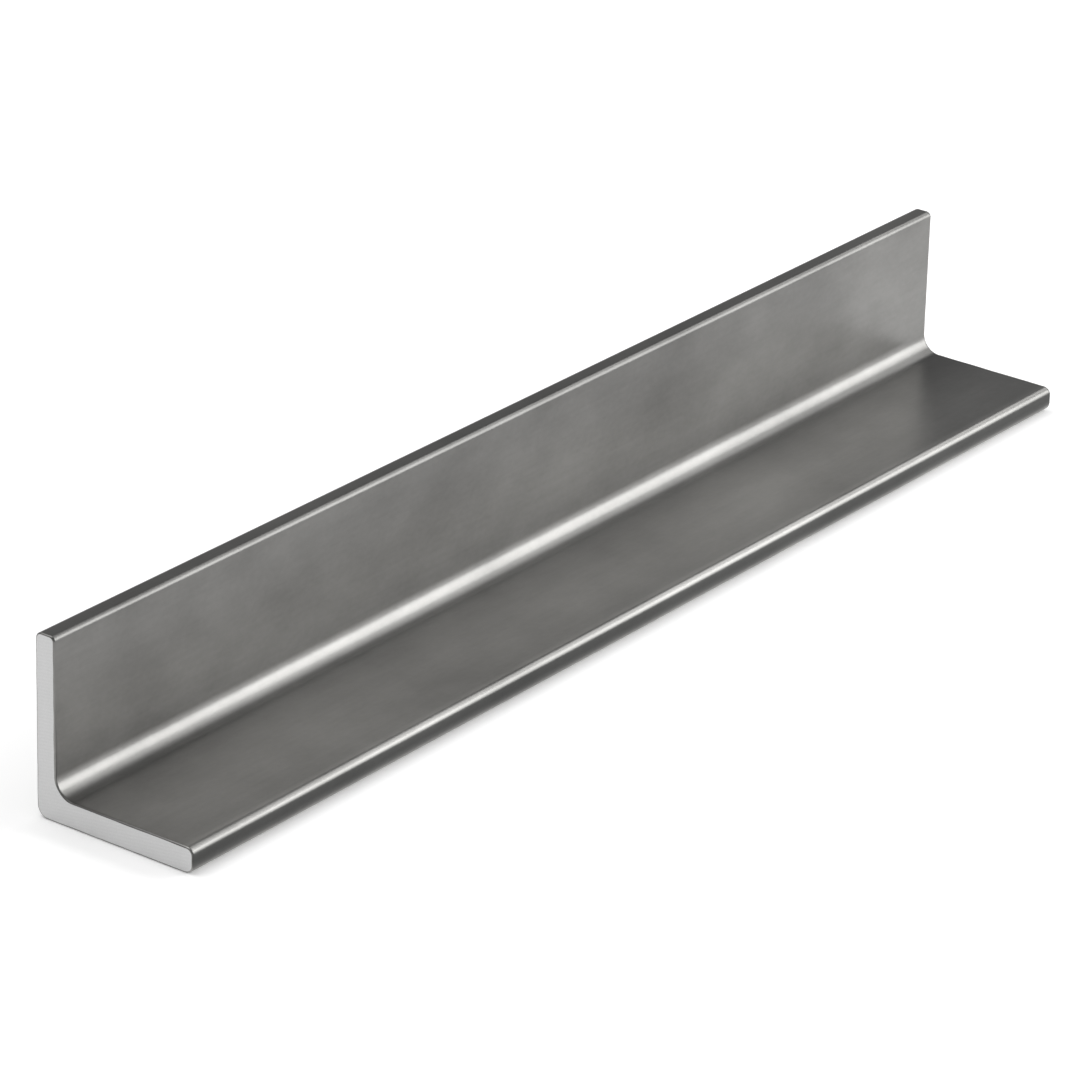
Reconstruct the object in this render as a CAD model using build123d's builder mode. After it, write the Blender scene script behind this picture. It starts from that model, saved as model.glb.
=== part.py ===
from build123d import *

import os

# Hot-rolled equal-leg steel angle, cut to length with a saw.
# +X runs along the length, +Y towards the standing leg, +Z up.
# The origin is under the middle of the section's box, on the face the angle lies on.

# ---- Driving dimensions, in millimetres ----
LEG = 60.0  # outside width of each leg, heel to toe
THICKNESS = 8.0  # nominal, both legs; the mill tolerance is 0.75 either way
STANDING_THICKNESS = 7.3  # as rolled, with the rolls a little off centre
LYING_THICKNESS = 8.6  # as rolled
LENGTH = 455.0  # from one sawn end to the other
ROOT_RADIUS = 6.5  # fillet in the inside corner
LYING_TOE_RADIUS = THICKNESS / 3  # inner edge of the lying toe, the nominal third
STANDING_TOE_RADIUS = 1.8  # inner edge of the standing toe, tighter as rolled
LYING_TOE_BACK_RADIUS = 3.2  # outer edge of the lying toe
STANDING_TOE_BACK_RADIUS = 2.2  # outer edge of the standing toe
HEEL_RADIUS = 4.0  # outer corner, rounded by worn rolls
SAWN_EDGE_CHAMFER = 0.5  # burr taken off around both sawn ends

# ---- Corners of the section, as (y, z) before rounding ----
BACK = LEG / 2
FRONT = -LEG / 2
HEEL = (BACK, 0)
ROOT = (BACK - STANDING_THICKNESS, LYING_THICKNESS)
STANDING_TOE_BACK = (BACK, LEG)
STANDING_TOE_INNER = (BACK - STANDING_THICKNESS, LEG)
LYING_TOE_BACK = (FRONT, 0)
LYING_TOE_INNER = (FRONT, LYING_THICKNESS)


def corners_at(points, sketch):
    """The sketch's vertices that stand at the given (y, z) corners."""
    return [sketch.vertices().sort_by_distance(point)[0] for point in points]


# ---- Angle: one rolled bar of constant section ----
with BuildPart() as angle_section:
    with BuildSketch(Plane.YZ.offset(-LENGTH / 2)) as section:
        with BuildLine():
            Polyline(
                HEEL,
                STANDING_TOE_BACK,
                STANDING_TOE_INNER,
                ROOT,
                LYING_TOE_INNER,
                LYING_TOE_BACK,
                close=True,
            )
        make_face()
        fillet(corners_at([ROOT], section), ROOT_RADIUS)
        fillet(corners_at([LYING_TOE_INNER], section), LYING_TOE_RADIUS)
        fillet(corners_at([LYING_TOE_BACK], section), LYING_TOE_BACK_RADIUS)
        fillet(corners_at([STANDING_TOE_INNER], section), STANDING_TOE_RADIUS)
        fillet(corners_at([STANDING_TOE_BACK], section), STANDING_TOE_BACK_RADIUS)
        fillet(corners_at([HEEL], section), HEEL_RADIUS)
    extrude(amount=LENGTH)

    # Both sawn ends are eased all the way round the section.
    sawn_ends = angle_section.faces().filter_by(Axis.X)
    chamfer(sawn_ends.edges(), SAWN_EDGE_CHAMFER)

angle_section.part.label = "angle_section"

os.makedirs("parts", exist_ok=True)
export_step(angle_section.part, "parts/angle_section.step")
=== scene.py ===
import math

import bpy
import numpy as np
from bpy.props import FloatProperty, FloatVectorProperty, PointerProperty
from bpy.types import NodeSocket, Operator, Panel, PropertyGroup
from mathutils import Matrix, Vector, noise


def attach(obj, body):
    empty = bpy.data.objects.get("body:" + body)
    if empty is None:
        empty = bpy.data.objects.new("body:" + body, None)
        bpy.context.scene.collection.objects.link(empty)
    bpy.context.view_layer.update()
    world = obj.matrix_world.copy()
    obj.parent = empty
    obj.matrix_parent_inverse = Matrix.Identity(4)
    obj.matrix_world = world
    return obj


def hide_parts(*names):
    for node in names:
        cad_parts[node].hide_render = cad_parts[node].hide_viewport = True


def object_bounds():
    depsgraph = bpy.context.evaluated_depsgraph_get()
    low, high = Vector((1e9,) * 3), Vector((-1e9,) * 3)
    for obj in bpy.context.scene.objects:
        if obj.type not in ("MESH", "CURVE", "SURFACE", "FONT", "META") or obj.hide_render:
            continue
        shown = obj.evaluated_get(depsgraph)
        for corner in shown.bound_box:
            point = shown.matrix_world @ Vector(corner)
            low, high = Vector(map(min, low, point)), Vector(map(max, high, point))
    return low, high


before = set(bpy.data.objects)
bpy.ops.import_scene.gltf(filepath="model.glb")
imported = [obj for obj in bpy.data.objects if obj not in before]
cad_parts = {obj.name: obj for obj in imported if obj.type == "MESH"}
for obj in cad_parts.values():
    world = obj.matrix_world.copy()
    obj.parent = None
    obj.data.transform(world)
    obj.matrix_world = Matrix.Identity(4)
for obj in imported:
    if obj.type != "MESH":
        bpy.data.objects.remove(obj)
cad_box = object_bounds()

bl_info = {
    "name": "Steel Angle",
    "version": (1, 0, 0),
    "blender": (4, 5, 0),
    "location": "3D View > Sidebar > Steel Angle",
    "description": "A sawn length of hot-rolled steel angle on a plain studio floor",
    "category": "Add Mesh",
}

CAD_NODE = "angle_section"
BOX_LOW, BOX_HIGH = cad_box
BOX_SIZE = BOX_HIGH - BOX_LOW


# ---- Settings a user would change ----


class AngleSizes(PropertyGroup):
    """The bar's own dimensions."""

    length: FloatProperty(
        name="Length",
        description="From one sawn end to the other",
        default=BOX_SIZE.x,
        unit="LENGTH",
    )
    leg: FloatProperty(
        name="Leg",
        description="Outside width of each leg, heel to toe",
        default=BOX_SIZE.z,
        unit="LENGTH",
    )
    standing_thickness: FloatProperty(
        name="Standing Thickness",
        description="Thickness of the standing leg",
        default=0.0073,
        unit="LENGTH",
    )
    lying_thickness: FloatProperty(
        name="Lying Thickness",
        description="Thickness of the lying leg",
        default=0.0086,
        unit="LENGTH",
    )
    root_radius: FloatProperty(
        name="Root Radius",
        description="Fillet in the inside corner",
        default=0.0065,
        unit="LENGTH",
    )
    standing_toe_radius: FloatProperty(
        name="Standing Toe Radius",
        description="Rounding of the standing toe's inner edge",
        default=0.0018,
        unit="LENGTH",
    )
    lying_toe_radius: FloatProperty(
        name="Lying Toe Radius",
        description="Rounding of the lying toe's inner edge",
        default=0.008 / 3,
        unit="LENGTH",
    )
    standing_toe_back_radius: FloatProperty(
        name="Standing Toe Back Radius",
        description="Rounding of the standing toe's outer edge",
        default=0.0022,
        unit="LENGTH",
    )
    lying_toe_back_radius: FloatProperty(
        name="Lying Toe Back Radius",
        description="Rounding of the lying toe's outer edge",
        default=0.0032,
        unit="LENGTH",
    )
    heel_radius: FloatProperty(
        name="Heel Radius",
        description="Rounding of the outer corner",
        default=0.004,
        unit="LENGTH",
    )
    sawn_edge: FloatProperty(
        name="Sawn Edge",
        description="How far the edge round each sawn end is eased",
        default=0.0005,
        unit="LENGTH",
    )
    waviness: FloatProperty(
        name="Waviness",
        description="Depth of the slow waves that the rolls leave along the bar",
        default=0.00006,
        unit="LENGTH",
    )


class SteelFinish(PropertyGroup):
    """Colours and texture of the rolled skin and the sawn ends, with the skin's painted shade and
    painted highlights.
    """

    skin_colour: FloatVectorProperty(
        name="Skin Colour",
        description="Colour of the descaled rolled skin",
        subtype="COLOR",
        size=3,
        default=(0.188, 0.186, 0.180),
    )
    skin_roughness: FloatProperty(
        name="Skin Roughness",
        description="Mean roughness of the rolled skin",
        default=0.31,
        subtype="FACTOR",
    )
    # Painted shade: a dark colour on the toes in place of the dark reflections they show, which
    # also dims the standing toe's highlight
    toe_shade_colour: FloatVectorProperty(
        name="Toe Colour",
        description="Colour of the flat toes",
        subtype="COLOR",
        size=3,
        default=(0.070, 0.070, 0.068),
    )
    # Painted shade: how much the skin is darkened beside the inside corner and over the lying
    # leg's inner face
    corner_shade_tone: FloatProperty(
        name="Corner Tone",
        description="Share of the skin's brightness that is left beside the inside corner",
        default=0.53,
        subtype="FACTOR",
    )
    # Painted highlight and painted reflection: how much paler the lying toe's edges and the
    # inside fillet are painted, as a share of the skin's brightness
    sheen_tone: FloatProperty(
        name="Worn Tone",
        description="Brightness of the lying toe's pale lower edge, as a share of the skin's",
        default=2.2,
    )
    sawn_colour: FloatVectorProperty(
        name="Sawn Colour",
        description="Colour of the bare metal on the sawn ends",
        subtype="COLOR",
        size=3,
        default=(0.615, 0.615, 0.615),
    )
    sawn_roughness: FloatProperty(
        name="Sawn Roughness",
        description="Mean roughness of the sawn ends",
        default=0.5,
        subtype="FACTOR",
    )
    kerf_pitch: FloatProperty(
        name="Kerf Pitch",
        description="Distance between the lines that the saw leaves",
        default=0.0011,
        unit="LENGTH",
    )


class StudioSettings(PropertyGroup):
    """Floor, lights and camera."""

    floor_colour: FloatVectorProperty(
        name="Floor Colour",
        description="Colour of the floor",
        subtype="COLOR",
        size=3,
        default=(0.96, 0.96, 0.96),
    )
    room_light: FloatProperty(
        name="Room Light",
        description="Level of the light from all round",
        default=0.37,
    )
    front_softbox: FloatProperty(
        name="Front Softbox",
        description="Brightness of the softbox in front",
        default=4.5,
    )
    upper_softbox: FloatProperty(
        name="Upper Softbox",
        description="Brightness of the softbox above and beside the front one",
        default=2.5,
    )
    back_softbox: FloatProperty(
        name="Back Softbox",
        description="Brightness of the softbox high up behind",
        default=2.15,
    )
    camera_azimuth: FloatProperty(
        name="Azimuth",
        description="Camera's direction round the bar",
        default=math.radians(-53.303),
        subtype="ANGLE",
    )
    camera_elevation: FloatProperty(
        name="Elevation",
        description="Camera's height over the horizon",
        default=math.radians(24.075),
        subtype="ANGLE",
    )
    camera_roll: FloatProperty(
        name="Roll",
        description="Turn about the line of sight",
        default=math.radians(1.531),
        subtype="ANGLE",
    )
    camera_distance: FloatProperty(
        name="Distance",
        description="From the camera to the point it aims at",
        default=1.8858,
        unit="LENGTH",
    )
    camera_aim: FloatVectorProperty(
        name="Aim",
        description="The point in the middle of the picture",
        subtype="TRANSLATION",
        size=3,
        default=(-0.01169, 0.00921, 0.02134),
    )
    camera_lens: FloatProperty(
        name="Lens",
        description="Focal length",
        default=198.12,
        unit="CAMERA",
    )


# ---- The section: outer and inner edge, in step from toe to toe ----

BACK = BOX_HIGH.y  # outer face of the standing leg
TOE_ARC_STEPS = 12
CORNER_ARC_STEPS = 20
LEG_STEPS = 24
SUPPORT = 0.0003  # first step of a flat beside an arc, which keeps its shading flat
WEB_STEPS = 4  # quads across the thickness, on the toes and the sawn ends


def arc(centre, radius, start, end, steps, concave=False):
    """Points and outward normals along an arc; the angles are in degrees."""
    angles = np.radians(np.linspace(start, end, steps + 1))
    ray = np.stack([np.cos(angles), np.sin(angles)], 1)
    return np.array(centre) + radius * ray, -ray if concave else ray


def flat(start, end, normal, steps):
    """Points and normals along a straight stretch, without its first and last point."""
    start, end = np.array(start), np.array(end)
    edge = SUPPORT / np.linalg.norm(end - start)
    share = np.concatenate([[edge], np.linspace(0, 1, steps - 1)[1:-1], [1 - edge]])[:, None]
    points = start + share * (end - start)
    return points, np.tile(np.array(normal, float), (len(points), 1))


def chain(*stretches):
    """Joins stretches of (points, normals) into one."""
    points, normals = zip(*stretches)
    return np.concatenate(points), np.concatenate(normals)


def mirrored(stretch):
    """The same stretch on the other leg: mirrored across the mitre line and reversed."""
    points, normals = stretch
    mirror = np.stack([BACK - points[:, 1], BACK - points[:, 0]], 1)
    turned = np.stack([-normals[:, 1], -normals[:, 0]], 1)
    return mirror[::-1], turned[::-1]


def leg_edges(sizes, thickness, toe, toe_back, other_thickness):
    """Outer and inner edge of a lying leg, from its toe to the corner arcs."""
    front = BACK - sizes.leg
    outer_toe = arc((front + toe_back, toe_back), toe_back, 180, 270, TOE_ARC_STEPS)
    outer_leg = flat((front + toe_back, 0), (BACK - sizes.heel_radius, 0), (0, -1), LEG_STEPS)
    inner_toe = arc((front + toe, thickness - toe), toe, 180, 90, TOE_ARC_STEPS)
    root_start = (BACK - other_thickness - sizes.root_radius, thickness)
    inner_leg = flat((front + toe, thickness), root_start, (0, 1), LEG_STEPS)
    return chain(outer_toe, outer_leg), chain(inner_toe, inner_leg)


def section_edges(sizes):
    """The outer and the inner edge of the section, each as (points, normals) in (y, z)."""
    lying, standing = sizes.lying_thickness, sizes.standing_thickness
    lying_outer, lying_inner = leg_edges(
        sizes, lying, sizes.lying_toe_radius, sizes.lying_toe_back_radius, standing
    )
    standing_outer, standing_inner = leg_edges(
        sizes, standing, sizes.standing_toe_radius, sizes.standing_toe_back_radius, lying
    )
    root, heel = sizes.root_radius, sizes.heel_radius
    root_centre = (BACK - standing - root, lying + root)
    heel_arc = arc((BACK - heel, heel), heel, 270, 360, CORNER_ARC_STEPS)
    root_arc = arc(root_centre, root, 270, 360, CORNER_ARC_STEPS, concave=True)
    outer = chain(lying_outer, heel_arc, mirrored(standing_outer))
    inner = chain(lying_inner, root_arc, mirrored(standing_inner))
    return outer, inner


def rim_of(outer, inner):
    """The closed outline: outer edge, standing toe, inner edge back, lying toe."""
    share = (np.arange(1, WEB_STEPS) / WEB_STEPS)[:, None]
    toes = []
    for end, normal in ((-1, (0, 1)), (0, (-1, 0))):
        points = outer[0][end] + share * (inner[0][end] - outer[0][end])
        toes.append((points, np.tile(np.array(normal, float), (len(points), 1))))
    standing_toe, lying_toe = toes
    inner_back = (inner[0][::-1], inner[1][::-1])
    lying_toe_back = (lying_toe[0][::-1], lying_toe[1][::-1])
    return chain(outer, standing_toe, inner_back, lying_toe_back)


# ---- The bar's mesh ----

RING_PITCH = 0.0026
EASED_STEPS = 3
EASED_UNEVENNESS = 0.3  # how much the eased edge varies, as a share of its size
EASED_PATCH = 0.006  # length over which the eased edge grows and shrinks
EASED_SEED = 5
WAVE_LENGTH = (0.085, 0.030, 0.030)
WAVE_SEED = 11
RIPPLE_LENGTH = (0.018, 0.010, 0.010)
RIPPLE_SHARE = 0.2  # depth of the short ripples, against that of the long waves
RIPPLE_SEED = 23
SAW_WANDER = 0.00006  # how far the saw cut strays into the bar
SAW_WANDER_LENGTH = 0.014
SAW_SEED = 31


def smooth_noise(point, lengths, seed):
    """Noise from 0 to 1 whose features have the given lengths along X, Y and Z."""
    place = Vector((point[0] / lengths[0], point[1] / lengths[1], point[2] / lengths[2]))
    return 0.5 + 0.5 * noise.noise(place + Vector((seed, 2 * seed, 3 * seed)))


def ring_places(sizes):
    """Every ring along the bar as (x, share along X, share inwards). The shares are of the
    eased edge's size, and are zero away from the ends."""
    half = sizes.length / 2
    angles = np.linspace(0, math.pi / 2, EASED_STEPS + 1)
    eased = [(1 - math.cos(a), 1 - math.sin(a)) for a in angles]
    start = sizes.sawn_edge + SUPPORT
    count = round((sizes.length - 2 * start) / RING_PITCH)
    middle = np.linspace(-half + start, half - start, count + 1)
    left = [(-half, dx, inset) for dx, inset in eased]
    right = [(half, -dx, inset) for dx, inset in reversed(eased)]
    return left + [(x, 0.0, 0.0) for x in middle] + right


def bar_rings(sizes, rim):
    """Points of every ring, with the rolled waves pressed into the skin."""
    points, normals = rim
    rings = []
    for x, dx, inset in ring_places(sizes):
        ring = []
        for (y, z), (ny, nz) in zip(points, normals):
            place = (x, y, z)
            edge = sizes.sawn_edge
            if inset or dx:
                patch = smooth_noise(place, (EASED_PATCH,) * 3, EASED_SEED)
                edge *= 1 + EASED_UNEVENNESS * (2 * patch - 1)
            wave = smooth_noise(place, WAVE_LENGTH, WAVE_SEED)
            ripple = smooth_noise(place, RIPPLE_LENGTH, RIPPLE_SEED)
            press = sizes.waviness * (wave + RIPPLE_SHARE * ripple) / (1 + RIPPLE_SHARE)
            deep = press + edge * inset
            ring.append((x + edge * dx, y - ny * deep, z - nz * deep))
        rings.append(ring)
    return rings


def rim_index(i, j, steps, around):
    """The ring's point at step i from toe to toe and j across the web, or None inside."""
    if j == 0:
        return i
    if j == WEB_STEPS:
        return steps + WEB_STEPS + (steps - i)
    if i == steps:
        return steps + j
    if i == 0:
        return around - j
    return None


def sawn_face(ring, steps, ring_start, new_start, inward):
    """The new points inside a sawn end, and the mesh's index of every point of its grid."""
    points, grid = [], {}
    for i in range(steps + 1):
        outer = np.array(ring[rim_index(i, 0, steps, len(ring))])
        inner = np.array(ring[rim_index(i, WEB_STEPS, steps, len(ring))])
        for j in range(WEB_STEPS + 1):
            on_rim = rim_index(i, j, steps, len(ring))
            if on_rim is not None:
                grid[i, j] = ring_start + on_rim
                continue
            place = outer + (inner - outer) * j / WEB_STEPS
            wander = SAW_WANDER * smooth_noise(place, (SAW_WANDER_LENGTH,) * 3, SAW_SEED)
            grid[i, j] = new_start + len(points)
            points.append((place[0] + inward * wander, place[1], place[2]))
    return points, grid


def bar_mesh(sizes):
    """The whole bar as one closed mesh of quads, with a list of which faces are sawn."""
    outer, inner = section_edges(sizes)
    rim = rim_of(outer, inner)
    rings = bar_rings(sizes, rim)
    last, around = len(rings) - 1, len(rim[0])
    steps = len(outer[0]) - 1
    points = [point for ring in rings for point in ring]
    faces, sawn = [], []
    for r in range(last):
        for k in range(around):
            a, b = r * around + k, r * around + (k + 1) % around
            faces.append((a, b, b + around, a + around))
            sawn.append(False)
    for at, inward in ((0, 1), (last, -1)):
        new_points, grid = sawn_face(rings[at], steps, at * around, len(points), inward)
        points.extend(new_points)
        for i in range(steps):
            for j in range(WEB_STEPS):
                quad = (grid[i, j], grid[i, j + 1], grid[i + 1, j + 1], grid[i + 1, j])
                faces.append(quad if at == 0 else quad[::-1])
                sawn.append(True)
    return points, faces, sawn


# ---- Zones of the skin: how much each point takes a painted shade or painted highlight, from 0 to 1 ----

TOE_FADE = 0.25  # how far the toes' painted shade runs off a flat toe, in radii of its edge
STANDING_TOE_SHARE = 0.28  # painted shade on the standing toe's flat, where the lying toe has 1
STANDING_ARC_SHARE = 0.36  # the same painted shade on the standing toe's rounded inner edge, where it dims the highlight
ARC_MIDDLE = 0.3  # how far in from the sharp corner that edge's middle is, in its radii
ARC_REACH = 1.1
FOOT_RISE = 1.25  # height of the painted reflection along the lying toe's lower edge, in its radii
FOOT_LENGTH = 2.0  # and its length under the leg
UPPER_SHEEN_SHARE = 0.42  # painted highlight on the lying toe's upper edge, where the lower edge has 1
UPPER_SHEEN_MIDDLE = (0.55, 0.1)  # that painted highlight's middle: how far in and how far down, in its radii
UPPER_SHEEN_REACH = 1.45
FILLET_HIGHLIGHT = 0.06  # painted highlight at the foot of the inside fillet
ROOT_HIGHLIGHT = 0.17  # painted highlight at the fillet's upper end
ROOT_HIGHLIGHT_REACH = 0.04  # height over which that painted highlight fades, up the standing leg
LYING_SHADE = 0.28  # painted shade over the whole lying leg's inner face, where the inside corner has 1
CORNER_REACH = 0.026  # width of the painted shade beside the inside corner
CORNER_RISE = 0.3  # how far that painted shade runs up the fillet, in radii


def fade(distance, reach):
    """1 at no distance, falling smoothly to 0 at the reach."""
    share = min(max(distance / reach, 0.0), 1.0)
    return 1.0 - share * share * (3.0 - 2.0 * share)


def is_inner(y, z, sizes):
    """Whether a point of the skin is on neither the underside nor the back."""
    return z > sizes.lying_thickness / 2 and y < BACK - sizes.standing_thickness / 2


def before_root(y, sizes):
    """How far a point is in front of the inside fillet."""
    return BACK - sizes.standing_thickness - sizes.root_radius - y


def toe_shade_zone(y, z, sizes):
    """The toes' painted shade: the lying toe's flat above its foot, and part of the standing toe,
    where it also dims the rounded edge's highlight.
    """
    in_front = y - (BACK - sizes.leg)
    foot = fade(z, FOOT_RISE * sizes.lying_toe_back_radius)
    lying_flat = fade(in_front, TOE_FADE * sizes.lying_toe_radius) * (1 - foot)
    below_top = sizes.leg - z
    standing_flat = fade(below_top, TOE_FADE * sizes.standing_toe_back_radius)
    middle = ARC_MIDDLE * sizes.standing_toe_radius
    from_arc = math.dist((y, below_top), (BACK - sizes.standing_thickness + middle, middle))
    arc_edge = fade(from_arc, ARC_REACH * sizes.standing_toe_radius)
    return max(lying_flat, STANDING_TOE_SHARE * standing_flat, STANDING_ARC_SHARE * arc_edge)


def root_highlight(y, z, sizes):
    """The painted highlight that grows up the inside fillet and fades up the standing leg."""
    if before_root(y, sizes) >= 0 or not is_inner(y, z, sizes):
        return 0.0
    above = z - sizes.lying_thickness
    up_fillet = min(max(above / sizes.root_radius, 0.0), 1.0)
    glow = FILLET_HIGHLIGHT + (ROOT_HIGHLIGHT - FILLET_HIGHLIGHT) * up_fillet**2
    return glow * fade(above - sizes.root_radius, ROOT_HIGHLIGHT_REACH)


def sheen_zone(y, z, sizes):
    """The painted highlight and painted reflection: both edges of the lying toe, and a little
    round the inside corner.
    """
    in_front = y - (BACK - sizes.leg)
    toe, toe_back = sizes.lying_toe_radius, sizes.lying_toe_back_radius
    inwards, down = UPPER_SHEEN_MIDDLE
    edge_middle = (inwards * toe, sizes.lying_thickness - down * toe)
    upper_edge = UPPER_SHEEN_SHARE * fade(math.dist((in_front, z), edge_middle), UPPER_SHEEN_REACH * toe)
    lower_edge = fade(z, FOOT_RISE * toe_back) * fade(in_front, FOOT_LENGTH * toe_back)
    return max(upper_edge, lower_edge, root_highlight(y, z, sizes))


def corner_shade_zone(y, z, sizes):
    """The painted shade: the lying leg's inner face, darkest where the fillet starts."""
    if not is_inner(y, z, sizes):
        return 0.0
    shade = LYING_SHADE + (1 - LYING_SHADE) * fade(before_root(y, sizes), CORNER_REACH)
    return shade * fade(z - sizes.lying_thickness, CORNER_RISE * sizes.root_radius)


# The toe and corner zones are painted shade; the third zone is painted highlight and painted
# reflection
ZONES = {"toe": toe_shade_zone, "sheen": sheen_zone, "corner": corner_shade_zone}


# ---- Shader nodes ----


def add_node(tree, kind, inputs=None, **settings):
    """A new node with its settings, and its inputs linked or set."""
    node = tree.nodes.new(kind)
    for name, value in settings.items():
        setattr(node, name, value)
    for socket, value in (inputs or {}).items():
        if isinstance(value, NodeSocket):
            tree.links.new(value, node.inputs[socket])
        else:
            node.inputs[socket].default_value = value
    return node


def scaled(tree, vector, by):
    """The vector times three numbers."""
    node = add_node(tree, "ShaderNodeVectorMath", {0: vector, 1: by}, operation="MULTIPLY")
    return node.outputs[0]


def spread(tree, value, low, high, source=(0.0, 1.0)):
    """The value taken from the source range to low..high."""
    inputs = {"Value": value, 1: source[0], 2: source[1], 3: low, 4: high}
    return add_node(tree, "ShaderNodeMapRange", inputs).outputs[0]


def swing(tree, value, by):
    """The value, from 0 to 1, taken to as much below zero as above it."""
    return spread(tree, value, -by, by)


def math_of(tree, operation, first, second):
    """One step of arithmetic on two values."""
    return add_node(tree, "ShaderNodeMath", {0: first, 1: second}, operation=operation).outputs[0]


def blended(tree, factor, first, second, blend="MIX"):
    """Two colours mixed."""
    inputs = {0: factor, 6: first, 7: second}
    node = add_node(tree, "ShaderNodeMix", inputs, data_type="RGBA", blend_type=blend)
    return node.outputs[2]


def relief(tree, height, strength, depth):
    """A bump normal from a height of 0 to 1."""
    inputs = {"Height": height, "Strength": strength, "Distance": depth}
    return add_node(tree, "ShaderNodeBump", inputs).outputs[0]


def new_group(name, inputs, outputs):
    """An empty shader node group with the named sockets, and its two end nodes."""
    group = bpy.data.node_groups.new(name, "ShaderNodeTree")
    for socket, (kind, default) in inputs.items():
        made = group.interface.new_socket(socket, in_out="INPUT", socket_type=kind)
        if default is not None:
            made.default_value = default
    for socket, kind in outputs.items():
        group.interface.new_socket(socket, in_out="OUTPUT", socket_type=kind)
    start = add_node(group, "NodeGroupInput")
    end = add_node(group, "NodeGroupOutput")
    return group, start, end


GRAIN_ROUGHNESS = 0.55  # how much the finer octaves of the noise count
GRAIN_RANGE = (0.25, 0.75)  # the part of the noise's range that its values fill


def grain_group():
    """Fine metal grain: noise of one feature size, drawn out along X by a stretch."""
    group, start, end = new_group(
        "steel_grain",
        {
            "Vector": ("NodeSocketVector", None),
            "Size": ("NodeSocketFloat", 0.001),
            "Stretch": ("NodeSocketFloat", 1.0),
            "Detail": ("NodeSocketFloat", 3.0),
        },
        {"Value": "NodeSocketFloat"},
    )
    along = math_of(group, "DIVIDE", 1.0, start.outputs["Stretch"])
    squeeze = add_node(group, "ShaderNodeCombineXYZ", {0: along, 1: 1.0, 2: 1.0})
    place = scaled(group, start.outputs["Vector"], squeeze.outputs[0])
    rate = math_of(group, "DIVIDE", 1.0, start.outputs["Size"])
    noise_node = add_node(
        group,
        "ShaderNodeTexNoise",
        {
            "Vector": place,
            "Scale": rate,
            "Detail": start.outputs["Detail"],
            "Roughness": GRAIN_ROUGHNESS,
        },
    )
    value = spread(group, noise_node.outputs[0], 0.0, 1.0, source=GRAIN_RANGE)
    group.links.new(value, end.inputs["Value"])
    return group


def grain(tree, group, vector, size, stretch=1.0, detail=2.0):
    """One use of the grain group: the feature size, and how far it is drawn out along X."""
    node = add_node(tree, "ShaderNodeGroup", node_tree=group)
    tree.links.new(vector, node.inputs["Vector"])
    node.inputs["Size"].default_value = size
    node.inputs["Stretch"].default_value = stretch
    node.inputs["Detail"].default_value = detail
    return node.outputs["Value"]


def new_material(name):
    """A material with only a Principled shader, and its tree, shader and coordinates."""
    material = bpy.data.materials.new(name)
    material.use_nodes = True
    tree = material.node_tree
    shader = tree.nodes["Principled BSDF"]
    place = add_node(tree, "ShaderNodeTexCoord").outputs["Object"]
    return material, tree, shader, place


def zone_mask(tree, name):
    """One zone of the skin, as the mesh holds it at each point."""
    return add_node(tree, "ShaderNodeAttribute", attribute_name=name).outputs["Fac"]


def rgba(colour):
    """A colour property as four numbers."""
    return (*colour, 1.0)


# How far each texture takes the skin's tone and roughness to either side of their mean, and
# its share of the relief.
DRIFT_TONE = 0.20
MOTTLE_TONE = 0.055
STREAK_TONE = 0.03
SPECKLE_TONE = 0.045
DRIFT_ROUGHNESS = 0.02
SPECKLE_ROUGHNESS = 0.008
SPECKLE_HEIGHT = 0.7
STREAK_HEIGHT = 0.3
SKIN_BUMP = 0.3  # strength of the relief
SKIN_DEPTH = 0.00004  # height of the relief


def rolled_skin(finish, group):
    """Descaled hot-rolled skin: grey, with slow drifts of tone, rolling streaks and grain, and
    with painted shade and painted highlights from its zones.
    """
    material, tree, shader, place = new_material("rolled_skin")
    drift = grain(tree, group, place, size=0.045, stretch=1.3)
    mottle = grain(tree, group, place, size=0.007, stretch=1.8)
    streak = grain(tree, group, place, size=0.0016, stretch=45.0)
    speckle = grain(tree, group, place, size=0.0016, stretch=1.6, detail=3.0)

    slow = math_of(tree, "ADD", swing(tree, drift, DRIFT_TONE), swing(tree, mottle, MOTTLE_TONE))
    tone = math_of(tree, "ADD", slow, swing(tree, streak, STREAK_TONE))
    tone = math_of(tree, "ADD", tone, swing(tree, speckle, SPECKLE_TONE))
    tone = math_of(tree, "ADD", tone, 1.0)
    # Painted shade beside the inside corner and over the lying leg's inner face
    corner = spread(tree, zone_mask(tree, "corner"), 1.0, finish.corner_shade_tone)
    # Painted highlight and painted reflection on the lying toe's edges and the inside fillet
    sheen = spread(tree, zone_mask(tree, "sheen"), 1.0, finish.sheen_tone)
    tone = math_of(tree, "MULTIPLY", tone, corner)
    tone = math_of(tree, "MULTIPLY", tone, sheen)
    # Painted shade on the toes: the toe colour mixed in by the toe zone
    toe = zone_mask(tree, "toe")
    ground = blended(tree, toe, rgba(finish.skin_colour), rgba(finish.toe_shade_colour))
    colour = blended(tree, 1.0, ground, tone, blend="MULTIPLY")
    tree.links.new(colour, shader.inputs["Base Color"])

    mean = finish.skin_roughness
    drifting = spread(tree, drift, mean - DRIFT_ROUGHNESS, mean + DRIFT_ROUGHNESS)
    rough = math_of(tree, "ADD", drifting, swing(tree, speckle, SPECKLE_ROUGHNESS))
    tree.links.new(rough, shader.inputs["Roughness"])
    shader.inputs["Metallic"].default_value = 1.0

    specks = spread(tree, speckle, 0.0, SPECKLE_HEIGHT)
    height = math_of(tree, "ADD", specks, spread(tree, streak, 0.0, STREAK_HEIGHT))
    tree.links.new(relief(tree, height, SKIN_BUMP, SKIN_DEPTH), shader.inputs["Normal"])
    return material


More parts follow.
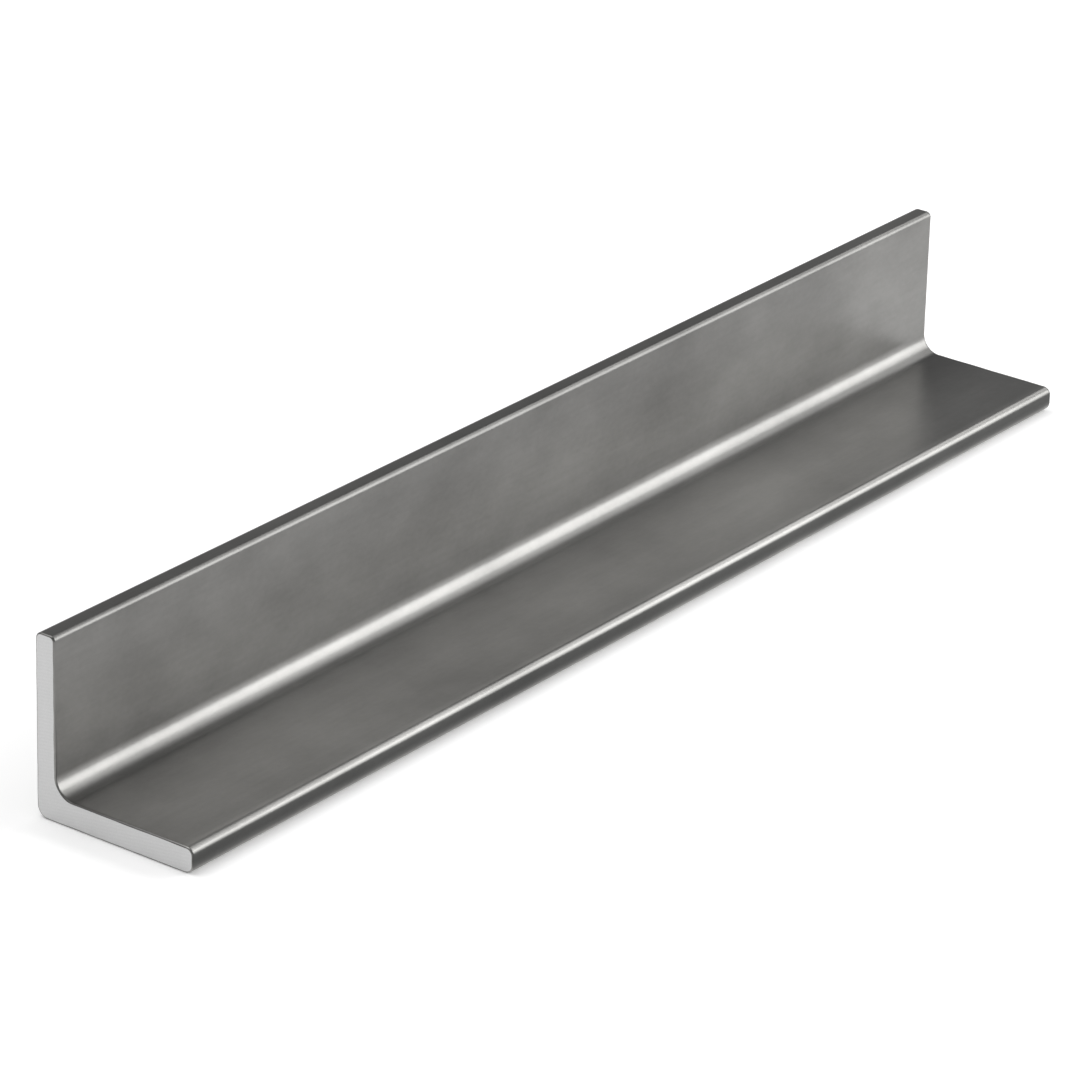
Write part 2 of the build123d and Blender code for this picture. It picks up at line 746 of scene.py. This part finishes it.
# The saw lines, and the same shares for the textures of the sawn ends.
KERF_LEAN = math.radians(8)
KERF_DISTORTION = 1.2
KERF_DETAIL = 2.0
KERF_DETAIL_SCALE = 1.5
ONE_BAND_A_METRE = math.pi / 10  # the wave texture's scale that gives bands a metre apart
SAWN_DRIFT_TONE = 0.05
KERF_TONE = 0.015
FINE_TONE = 0.04
SAWN_DRIFT_ROUGHNESS = 0.05
KERF_HEIGHT = 0.7
FINE_HEIGHT = 0.3
SAWN_BUMP = 0.3
SAWN_DEPTH = 0.00005


def sawn_metal(finish, group):
    """Bare metal cut by a saw: light, dull, with fine lines across."""
    material, tree, shader, place = new_material("sawn_metal")
    drift = grain(tree, group, place, size=0.012)
    fine = grain(tree, group, place, size=0.0005)
    leaning = {"Vector": place, "Rotation": (KERF_LEAN, 0.0, 0.0)}
    kerf = add_node(
        tree,
        "ShaderNodeTexWave",
        {
            "Vector": add_node(tree, "ShaderNodeMapping", leaning).outputs[0],
            "Scale": ONE_BAND_A_METRE / finish.kerf_pitch,
            "Distortion": KERF_DISTORTION,
            "Detail": KERF_DETAIL,
            "Detail Scale": KERF_DETAIL_SCALE,
        },
        wave_type="BANDS",
        bands_direction="Z",
    ).outputs["Fac"]

    tone = math_of(tree, "ADD", swing(tree, drift, SAWN_DRIFT_TONE), swing(tree, kerf, KERF_TONE))
    tone = math_of(tree, "ADD", tone, spread(tree, fine, 1 - FINE_TONE, 1 + FINE_TONE))
    colour = blended(tree, 1.0, rgba(finish.sawn_colour), tone, blend="MULTIPLY")
    tree.links.new(colour, shader.inputs["Base Color"])
    mean = finish.sawn_roughness
    rough = spread(tree, drift, mean - SAWN_DRIFT_ROUGHNESS, mean + SAWN_DRIFT_ROUGHNESS)
    tree.links.new(rough, shader.inputs["Roughness"])
    shader.inputs["Metallic"].default_value = 1.0

    lines = spread(tree, kerf, 0.0, KERF_HEIGHT)
    height = math_of(tree, "ADD", lines, spread(tree, fine, 0.0, FINE_HEIGHT))
    tree.links.new(relief(tree, height, SAWN_BUMP, SAWN_DEPTH), shader.inputs["Normal"])
    return material


# ---- Operators ----


class ANGLE_OT_roll_bar(Operator):
    """Make the steel angle as one closed mesh with its rolled skin and sawn ends"""

    bl_idname = "steel_angle.roll_bar"
    bl_label = "Roll the Bar"

    def execute(self, context):
        sizes, finish = context.scene.angle_sizes, context.scene.steel_finish
        points, faces, sawn = bar_mesh(sizes)
        mesh = bpy.data.meshes.new("steel_angle")
        mesh.from_pydata(points, [], faces)
        group = grain_group()
        mesh.materials.append(rolled_skin(finish, group))
        mesh.materials.append(sawn_metal(finish, group))
        mesh.polygons.foreach_set("material_index", np.array(sawn, np.int32))
        mesh.polygons.foreach_set("use_smooth", np.ones(len(faces), bool))
        # Each zone of painted shade or painted highlight, stored at the mesh's points
        for name, zone in ZONES.items():
            values = [zone(y, z, sizes) for _, y, z in points]
            mesh.attributes.new(name, "FLOAT", "POINT").data.foreach_set("value", values)
        if mesh.validate():
            raise RuntimeError("the bar's mesh has faults")
        bar = bpy.data.objects.new("steel_angle", mesh)
        context.scene.collection.objects.link(bar)
        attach(bar, "root")
        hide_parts(CAD_NODE)
        return {"FINISHED"}


WHITE = (1.0, 1.0, 1.0, 1.0)
FLOOR_SIDE = 30.0
FLOOR_LIFT = 0.18  # glow of the floor, only as the camera and reflections see it
LAMP_AIM = Vector((0.0, 0.0, 0.03))  # the middle of the bar, half way up
CAMERA_REACH = 100.0


def add_floor(studio):
    """A wide plain floor, level with the foot of the bar."""
    half = FLOOR_SIDE / 2
    corners = [(-half, -half, 0), (half, -half, 0), (half, half, 0), (-half, half, 0)]
    mesh = bpy.data.meshes.new("floor")
    mesh.from_pydata(corners, [], [(0, 1, 2, 3)])
    floor = bpy.data.objects.new("floor", mesh)
    bpy.context.scene.collection.objects.link(floor)
    material = bpy.data.materials.new("floor_paint")
    material.use_nodes = True
    tree = material.node_tree
    shader = tree.nodes["Principled BSDF"]
    shader.inputs["Base Color"].default_value = rgba(studio.floor_colour)
    shader.inputs["Roughness"].default_value = 1.0
    shader.inputs["Specular IOR Level"].default_value = 0.0
    rays = add_node(tree, "ShaderNodeLightPath").outputs
    seen = math_of(tree, "ADD", rays["Is Camera Ray"], rays["Is Glossy Ray"])
    seen = math_of(tree, "ADD", seen, rays["Is Transmission Ray"])
    shader.inputs["Emission Color"].default_value = WHITE
    lift = math_of(tree, "MULTIPLY", seen, FLOOR_LIFT)
    tree.links.new(lift, shader.inputs["Emission Strength"])
    mesh.materials.append(material)


def add_softbox(name, radiance, azimuth, elevation, distance, width, height):
    """A rectangular lamp that shines at the bar. The azimuth is from +X towards +Y, and the
    angles are in degrees."""
    a, e = math.radians(azimuth), math.radians(elevation)
    way = Vector((math.cos(a) * math.cos(e), math.sin(a) * math.cos(e), math.sin(e)))
    lamp = bpy.data.lights.new(name, "AREA")
    lamp.shape = "RECTANGLE"
    lamp.size, lamp.size_y = width, height
    lamp.energy = radiance * math.pi * width * height
    softbox = bpy.data.objects.new(name, lamp)
    turn = (-way).to_track_quat("-Z", "Y").to_matrix().to_4x4()
    softbox.matrix_world = Matrix.Translation(LAMP_AIM + way * distance) @ turn
    softbox.visible_camera = False
    bpy.context.scene.collection.objects.link(softbox)


def add_room_light(studio):
    """Even pale light from all round."""
    world = bpy.data.worlds.new("room")
    world.use_nodes = True
    background = world.node_tree.nodes["Background"]
    background.inputs["Color"].default_value = WHITE
    background.inputs["Strength"].default_value = studio.room_light
    bpy.context.scene.world = world


def add_camera(studio):
    """The camera, from its direction, roll and distance to the point it aims at. The azimuth
    is from -Y towards +X."""
    a, e = studio.camera_azimuth, studio.camera_elevation
    back = Vector((math.sin(a) * math.cos(e), -math.cos(a) * math.cos(e), math.sin(e)))
    right = Vector((0, 0, 1)).cross(back).normalized()
    up = back.cross(right)
    c, s = math.cos(studio.camera_roll), math.sin(studio.camera_roll)
    turned_right, turned_up = c * right + s * up, c * up - s * right
    data = bpy.data.cameras.new("camera")
    data.lens = studio.camera_lens
    data.clip_end = CAMERA_REACH
    camera = bpy.data.objects.new("camera", data)
    turn = Matrix((turned_right, turned_up, back)).transposed().to_4x4()
    place = Vector(studio.camera_aim) + back * studio.camera_distance
    camera.matrix_world = Matrix.Translation(place) @ turn
    bpy.context.scene.collection.objects.link(camera)
    bpy.context.scene.camera = camera


class ANGLE_OT_set_studio(Operator):
    """Lay the floor and set the lamps, the room light and the camera"""

    bl_idname = "steel_angle.set_studio"
    bl_label = "Set the Studio"

    def execute(self, context):
        studio = context.scene.angle_studio
        add_floor(studio)
        add_room_light(studio)
        add_softbox(
            "front_softbox", studio.front_softbox,
            azimuth=-43, elevation=19, distance=1.9, width=1.24, height=1.169,
        )
        add_softbox(
            "upper_softbox", studio.upper_softbox,
            azimuth=-13, elevation=41.5, distance=1.9, width=1.30, height=0.62,
        )
        add_softbox(
            "back_softbox", studio.back_softbox,
            azimuth=116, elevation=66, distance=1.8, width=1.7, height=1.7,
        )
        add_camera(studio)
        context.scene.view_settings.view_transform = "Standard"
        return {"FINISHED"}


class ANGLE_PT_sidebar(Panel):
    """The steel angle's settings and steps."""

    bl_label = "Steel Angle"
    bl_idname = "ANGLE_PT_sidebar"
    bl_space_type = "VIEW_3D"
    bl_region_type = "UI"
    bl_category = "Steel Angle"

    def draw(self, context):
        layout, scene = self.layout, context.scene
        for title, group in (
            ("Sizes", scene.angle_sizes),
            ("Finish", scene.steel_finish),
            ("Studio", scene.angle_studio),
        ):
            box = layout.box()
            box.label(text=title)
            for name in type(group).__annotations__:
                box.prop(group, name)
        layout.operator(ANGLE_OT_roll_bar.bl_idname)
        layout.operator(ANGLE_OT_set_studio.bl_idname)


CLASSES = (
    AngleSizes,
    SteelFinish,
    StudioSettings,
    ANGLE_OT_roll_bar,
    ANGLE_OT_set_studio,
    ANGLE_PT_sidebar,
)


def register():
    for each in CLASSES:
        bpy.utils.register_class(each)
    bpy.types.Scene.angle_sizes = PointerProperty(type=AngleSizes)
    bpy.types.Scene.steel_finish = PointerProperty(type=SteelFinish)
    bpy.types.Scene.angle_studio = PointerProperty(type=StudioSettings)


def unregister():
    del bpy.types.Scene.angle_studio
    del bpy.types.Scene.steel_finish
    del bpy.types.Scene.angle_sizes
    for each in reversed(CLASSES):
        bpy.utils.unregister_class(each)


def main():
    register()
    bpy.ops.steel_angle.roll_bar()
    bpy.ops.steel_angle.set_studio()


if __name__ == "__main__":
    main()
